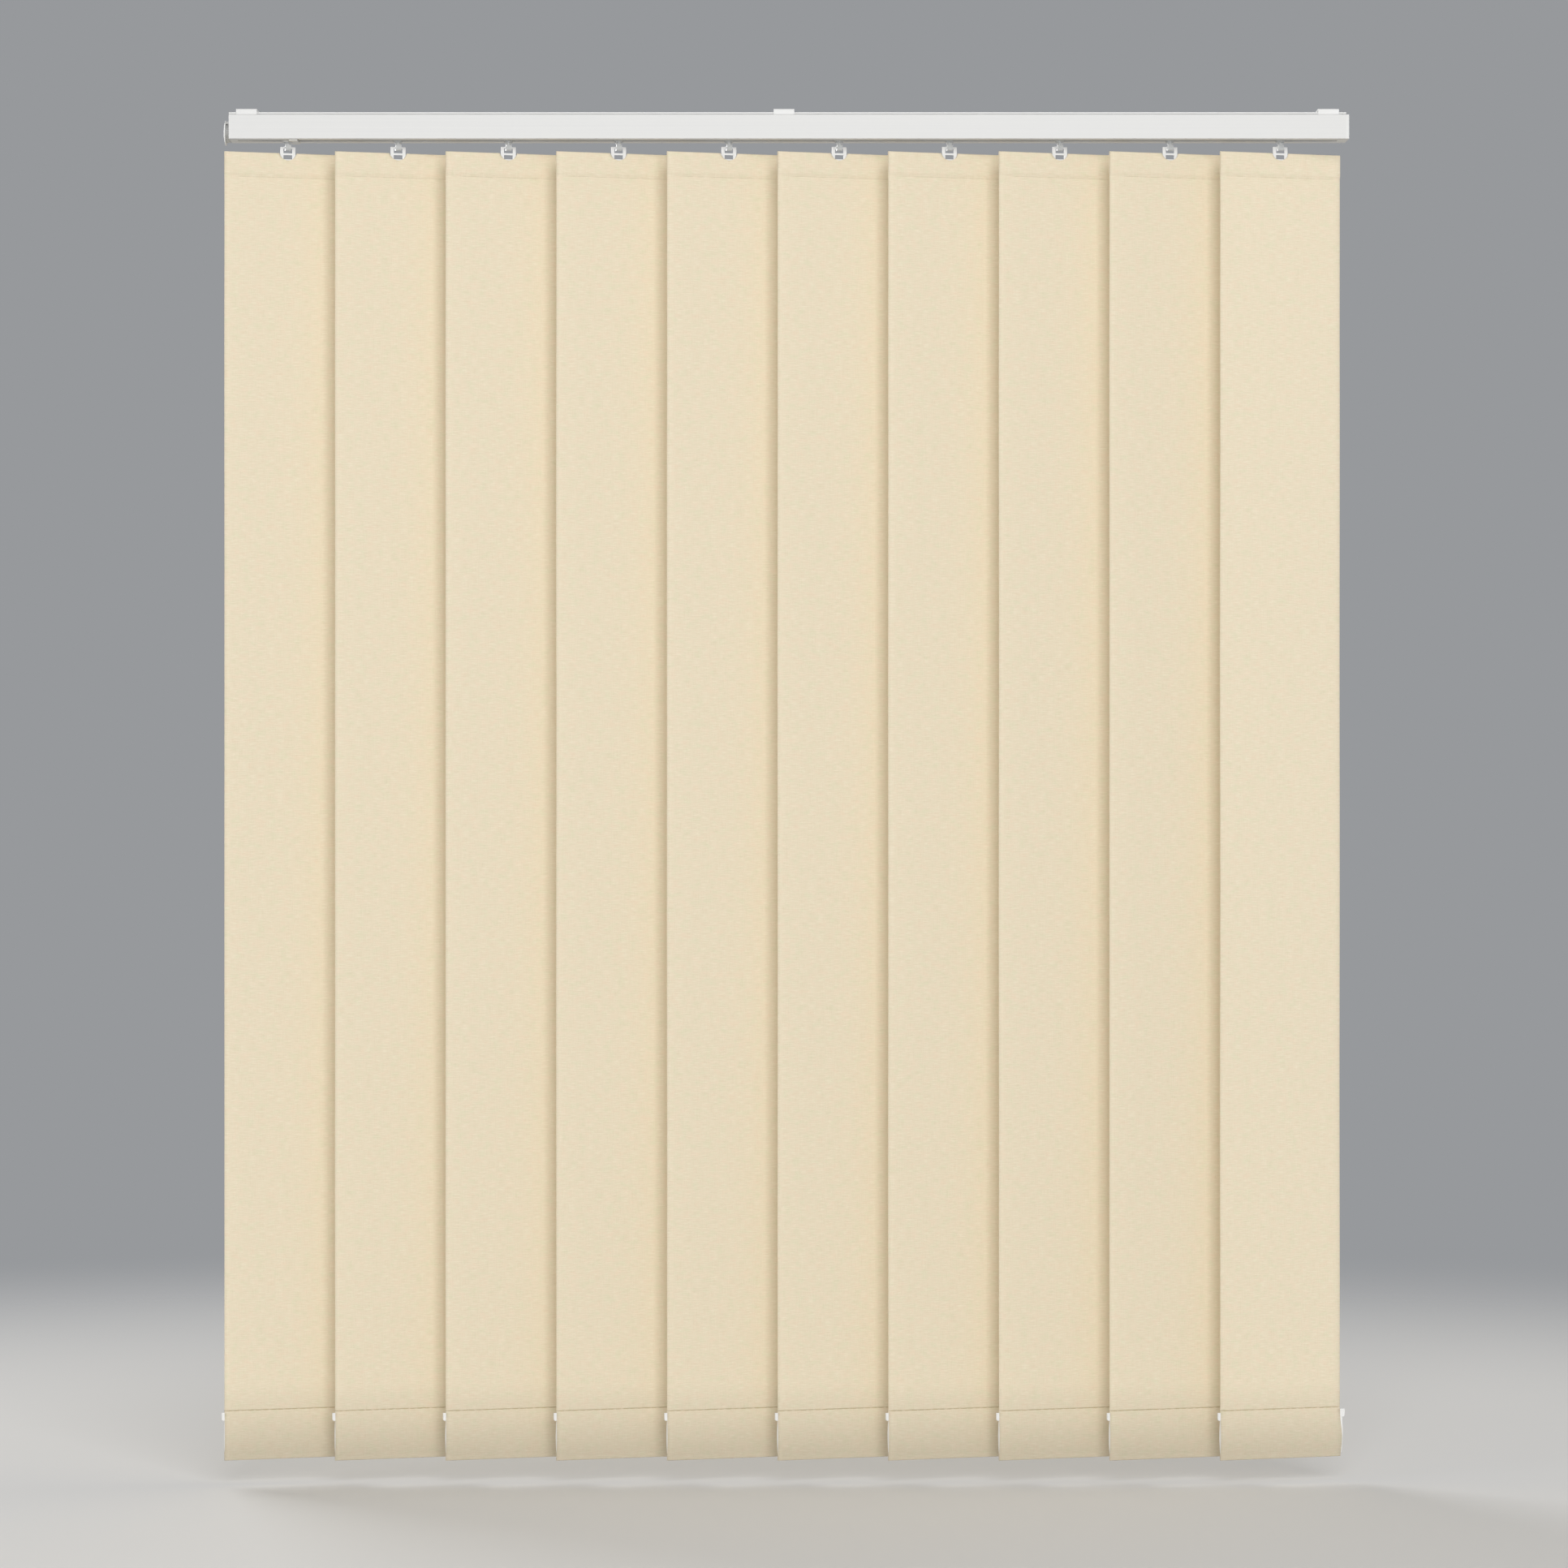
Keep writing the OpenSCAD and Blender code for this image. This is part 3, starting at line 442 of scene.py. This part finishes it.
def makePowderCoat(p):
    # white polyester powder coat on an extrusion: satin, orange-peel skin, faint draw lines along the rail
    finish, tree, shader = newFinish("powderCoatedAluminium", {"Specular IOR Level": 0.3})
    spot = addNode(tree, "ShaderNodeTexCoord").outputs["Object"]
    peel = addNode(tree, "ShaderNodeTexNoise", {"Vector": spot, "Scale": 1 / (p["peel"] * mm), "Detail": 2.0})
    long, wide = (1 / (size * mm) for size in p["drawn"])
    drawn = addNode(tree, "ShaderNodeMapping", {"Vector": spot, "Scale": (long, wide, wide)})
    lines = addNode(tree, "ShaderNodeTexNoise", {"Vector": drawn.outputs[0], "Scale": 1.0, "Detail": 2.0})
    grey, white = (tint(shade) for shade in p["colours"])
    colour = addNode(tree, "ShaderNodeMix", {0: lines.outputs[0], 6: grey, 7: white}, data_type="RGBA")
    sleek, dull = p["gloss"]
    gloss = addNode(tree, "ShaderNodeMapRange", {"Value": lines.outputs[0], "From Min": 0.3, "From Max": 0.7,
                                                 "To Min": sleek, "To Max": dull})
    bump = addNode(tree, "ShaderNodeBump", {"Strength": 0.25, "Distance": p["peelDepth"] * mm,
                                            "Height": peel.outputs[0]})
    tree.links.new(colour.outputs[2], shader.inputs["Base Color"])
    tree.links.new(gloss.outputs[0], shader.inputs["Roughness"])
    tree.links.new(bump.outputs[0], shader.inputs["Normal"])
    return finish


drawnRod = {
    "colours": ("#B4B7B9", "#D3D5D6"),
    "drawn": (83.333, 0.5),  # length and width of a scratch, mm
    "gloss": (0.25, 0.5),
}


def makeDrawnRod(r):
    # drawn aluminium, bare: grey and bright, with fine scratches along its length
    finish, tree, shader = newFinish("drawnAluminium", {"Metallic": 1.0})
    spot = addNode(tree, "ShaderNodeTexCoord").outputs["Object"]
    long, wide = (1 / (size * mm) for size in r["drawn"])
    drawn = addNode(tree, "ShaderNodeMapping", {"Vector": spot, "Scale": (long, wide, wide)})
    lines = addNode(tree, "ShaderNodeTexNoise", {"Vector": drawn.outputs[0], "Scale": 1.0, "Detail": 3.0})
    dark, pale = (tint(shade) for shade in r["colours"])
    colour = addNode(tree, "ShaderNodeMix", {0: lines.outputs[0], 6: dark, 7: pale}, data_type="RGBA")
    sleek, dull = r["gloss"]
    gloss = addNode(tree, "ShaderNodeMapRange", {"Value": lines.outputs[0], "To Min": sleek, "To Max": dull})
    tree.links.new(colour.outputs[2], shader.inputs["Base Color"])
    tree.links.new(gloss.outputs[0], shader.inputs["Roughness"])
    return finish


mouldings = {  # two colours, grain in mm, and what the shader is set to
    "mouldedAbs": ("#DDDDDB", "#E5E5E3", 0.5, {"Roughness": 0.48, "Specular IOR Level": 0.35}),
    "clipPolycarbonate": ("#DFDFDE", "#E8E8E6", 0.9, {"Roughness": 0.42, "Specular IOR Level": 0.4}),
    "carrierAcetal": ("#DDDCD8", "#E6E5E1", 0.6, {"Roughness": 0.34, "IOR": 1.48}),
    "wheelAcetal": ("#CBCCCB", "#D8D8D6", 0.6, {"Roughness": 0.42, "IOR": 1.48}),
    "frostedPolycarbonate": ("#D0D3D4", "#DEE0E0", 0.7, {"Roughness": 0.3, "IOR": 1.58,
                                                         "Transmission Weight": 0.2}),
    "hangerAbs": ("#E2E2E1", "#EBEBEA", 0.8, {"Roughness": 0.42, "Specular IOR Level": 0.4}),
    "weightPvc": ("#E9E9E7", "#F1F1EF", 0.5, {"Roughness": 0.4, "IOR": 1.53}),
}
finishes = {name: makeMoulding(name, *values) for name, values in mouldings.items()}
finishes["powderCoat"] = makePowderCoat(powderCoat)
finishes["drawnRod"] = makeDrawnRod(drawnRod)
wears = {"headrail": "powderCoat", "tilt_rod": "drawnRod", "rod_bush": "carrierAcetal", "control_plug": "mouldedAbs",
         "chain_wheel": "wheelAcetal", "wheel_cover": "mouldedAbs", "end_cap": "mouldedAbs",
         "bracket": "clipPolycarbonate", "carrier": "carrierAcetal", "hook": "frostedPolycarbonate",
         "hanger": "hangerAbs", "weight": "weightPvc"}
for name, solid in solids.items():
    family = name if name in wears else name.rsplit("_", 1)[0]
    if family in wears:
        solid.data.materials.clear()
        solid.data.materials.append(finishes[wears[family]])
print("hard parts finished:", len(finishes), "finishes")


# studio

studio = {
    "floor": -1356.0 * mm,
    "floorColour": "#D0CFCD",
    "floorRadius": 3.0,
    "floorFade": (1.0, 2.8),  # from full floor to background, metres from the middle
    "background": "#97999C",
    "ambient": 0.39,
    "lamps": {  # power, size, place, aim
        "frontLight": (213.0, 3.4, (0.8, -5.6, 1.3), (0, 0, -0.66)),
        "rearLight": (145.0, 3.0, (-2.8, 4.3, 1.6), (0, 0, -0.66)),
        "sideLight": (40.0, 2.0, (-4.2, -2.6, 0.2), (0, 0, -0.5)),
        "endLight": (45.0, 2.0, (4.2, 0.6, 0.4), (0.5, 0, -0.4)),
    },
    "lens": 125.55,
    "eye": (0.0, -5.406, -0.6651),
}


def makeFloor():
    bm = bmesh.new()
    bmesh.ops.create_circle(bm, cap_ends=True, segments=96, radius=studio["floorRadius"])
    bmesh.ops.translate(bm, verts=bm.verts, vec=(0, 0, studio["floor"]))
    mesh = bpy.data.meshes.new("studioFloor")
    bm.to_mesh(mesh)
    bm.free()
    floor = bpy.data.objects.new("studioFloor", mesh)
    scene.collection.objects.link(floor)
    finish, tree, shader = newFinish("paintedFloor", {"Base Color": tint(studio["floorColour"]), "Roughness": 0.9})
    spot = addNode(tree, "ShaderNodeTexCoord").outputs["Object"]
    flat = addNode(tree, "ShaderNodeVectorMath", {0: spot, 1: (1, 1, 0)}, operation="MULTIPLY")
    far = addNode(tree, "ShaderNodeVectorMath", {0: flat.outputs[0]}, operation="LENGTH")
    near, past = studio["floorFade"]
    fade = addNode(tree, "ShaderNodeMapRange", {"Value": far.outputs["Value"], "From Min": near, "From Max": past,
                                                "To Min": 1.0, "To Max": 0.0}, interpolation_type="SMOOTHSTEP")
    below = addNode(tree, "ShaderNodeNewGeometry").outputs["Backfacing"]
    above = addNode(tree, "ShaderNodeMath", {0: 1.0, 1: below}, operation="SUBTRACT")
    shown = addNode(tree, "ShaderNodeMath", {0: fade.outputs[0], 1: above.outputs[0]}, operation="MULTIPLY")
    tree.links.new(shown.outputs[0], shader.inputs["Alpha"])  # runs out into the background, clear from below
    mesh.materials.append(finish)


def makeLamp(name, power, size, spot, aim):
    lamp = bpy.data.lights.new(name, "AREA")
    lamp.energy, lamp.shape, lamp.size = power, "SQUARE", size
    holder = bpy.data.objects.new(name, lamp)
    holder.location = spot
    holder.rotation_euler = (Vector(aim) - Vector(spot)).to_track_quat("-Z", "Y").to_euler()
    scene.collection.objects.link(holder)


def makeWorld():
    world = bpy.data.worlds.new("softStudio")
    world.use_nodes = True
    tree = world.node_tree
    tree.nodes.clear()
    rays = addNode(tree, "ShaderNodeLightPath").outputs
    seen = addNode(tree, "ShaderNodeMath", {0: rays["Is Camera Ray"], 1: rays["Is Glossy Ray"]}, operation="MAXIMUM")
    seen = addNode(tree, "ShaderNodeMath", {0: seen.outputs[0], 1: rays["Is Transmission Ray"]}, operation="MAXIMUM")
    light = addNode(tree, "ShaderNodeBackground", {"Color": (1, 1, 1, 1), "Strength": studio["ambient"]})
    wall = addNode(tree, "ShaderNodeBackground", {"Color": tint(studio["background"]), "Strength": 1.0})
    both = addNode(tree, "ShaderNodeMixShader", {0: seen.outputs[0], 1: light.outputs[0], 2: wall.outputs[0]})
    addNode(tree, "ShaderNodeOutputWorld", {"Surface": both.outputs[0]})
    scene.world = world


makeFloor()
makeWorld()
for name, values in studio["lamps"].items():
    makeLamp(name, *values)
camera = bpy.data.cameras.new("photoCamera")
camera.lens, camera.sensor_width = studio["lens"], 36.0
viewer = bpy.data.objects.new("photoCamera", camera)
viewer.location = studio["eye"]
viewer.rotation_euler = (math.radians(90), 0, 0)
scene.collection.objects.link(viewer)
scene.camera = viewer
scene.view_settings.view_transform = "Standard"
print("studio set")
